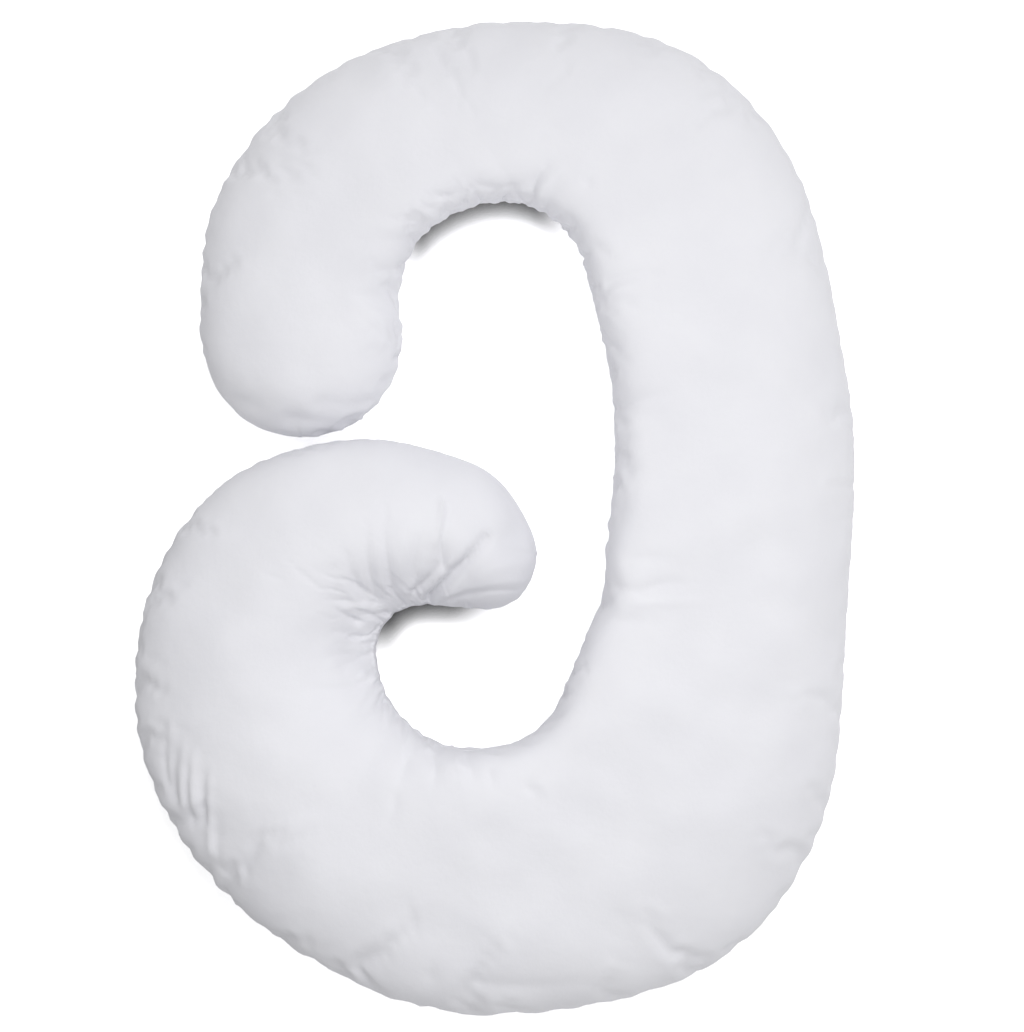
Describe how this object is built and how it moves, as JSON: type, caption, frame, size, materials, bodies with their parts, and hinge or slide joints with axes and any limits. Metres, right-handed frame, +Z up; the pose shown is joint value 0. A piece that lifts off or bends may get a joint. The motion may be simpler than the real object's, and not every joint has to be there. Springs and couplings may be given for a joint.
{
  "type": "pregnancy pillow",
  "caption": "Full-body pregnancy pillow: one fat filled white cotton tube lying in a C with an inward-curled hook, puckered along its seam.",
  "frame": {"origin": "centre of the bounding box in plan, at the surface the pillow lies on", "axes": "+Y along the long side, from the curled lower end to the upper arm; +X from the open side to the long straight body; +Z up from the surface through the pillow's thickness"},
  "size_m": [1.0028, 1.3822, 0.2061],
  "materials": {
    "cotton": "matt fine plain weave"
  },
  "bodies": {
    "root": {"pillow": "cotton"}
  },
  "joints": []
}
